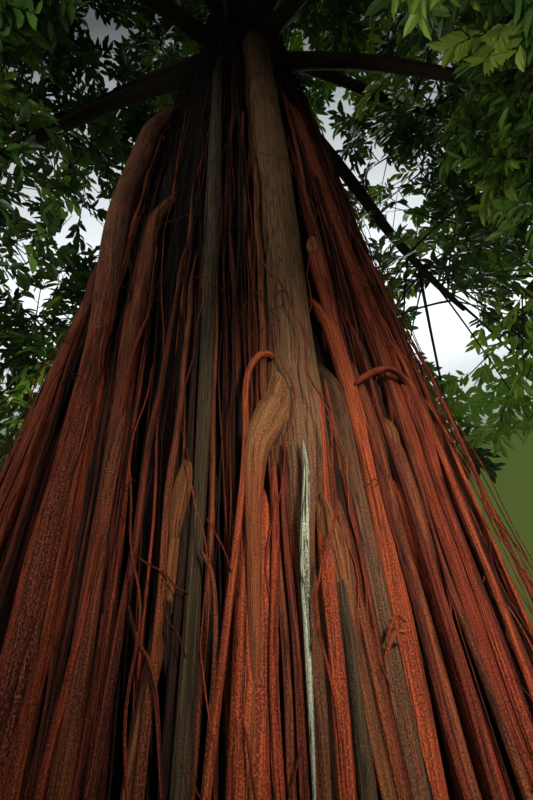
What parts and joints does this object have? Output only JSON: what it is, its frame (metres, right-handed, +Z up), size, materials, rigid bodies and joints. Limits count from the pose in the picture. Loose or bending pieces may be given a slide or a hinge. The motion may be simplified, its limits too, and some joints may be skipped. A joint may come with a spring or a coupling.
{
  "type": "banyan tree",
  "caption": "Tall rooted tree: a flared column of fused and free-standing aerial roots under a broad leafy crown on arching boughs.",
  "frame": {"origin": "centre of the trunk's flat cut at ground level", "axes": "+Z up along the trunk, -Y towards the front with the thick grey stem, +X to its right"},
  "size_m": [24.6484, 23.6967, 31.3019],
  "materials": {
    "bark": "rough reddish brown bark",
    "grey_bark": "smooth grey-brown bark",
    "leaves": "satin leathery leaves"
  },
  "bodies": {
    "root": {"trunk": "bark", "centre_stem": "grey_bark", "skirt_root": "bark", "grey_stem": "grey_bark", "left_stem": "bark", "left_shoulder_root": "bark", "left_brown_root": "bark", "red_root": "bark", "right_brown_root": "bark", "right_stem": "bark", "right_edge_root": "bark", "panel_root": "bark", "left_thin_root": "bark", "knee": "bark", "arch_root": "bark", "bridge_root": "bark", "back_root_1": "bark", "back_root_2": "bark", "back_root_3": "bark", "back_root_4": "bark", "back_root_5": "bark", "back_root_6": "bark", "back_root_7": "bark", "back_root_8": "bark", "bough_low_1": "bark", "bough_low_2": "bark", "bough_low_3": "bark", "bough_low_4": "bark", "bough_low_5": "bark", "bough_low_6": "bark", "bough_low_7": "bark", "bough_low_8": "bark", "bough_middle_1": "bark", "bough_middle_2": "bark", "bough_middle_3": "bark", "bough_middle_4": "bark", "bough_middle_5": "bark", "bough_high_1": "bark", "bough_high_2": "bark", "bough_high_3": "bark", "bough_top": "bark", "foliage_low_1": "leaves", "foliage_low_2": "leaves", "foliage_low_3": "leaves", "foliage_low_4": "leaves", "foliage_low_5": "leaves", "foliage_low_6": "leaves", "foliage_low_7": "leaves", "foliage_low_8": "leaves", "foliage_middle_1": "leaves", "foliage_middle_2": "leaves", "foliage_middle_3": "leaves", "foliage_middle_4": "leaves", "foliage_middle_5": "leaves", "foliage_high_1": "leaves", "foliage_high_2": "leaves", "foliage_high_3": "leaves", "foliage_top": "leaves"}
  },
  "joints": []
}
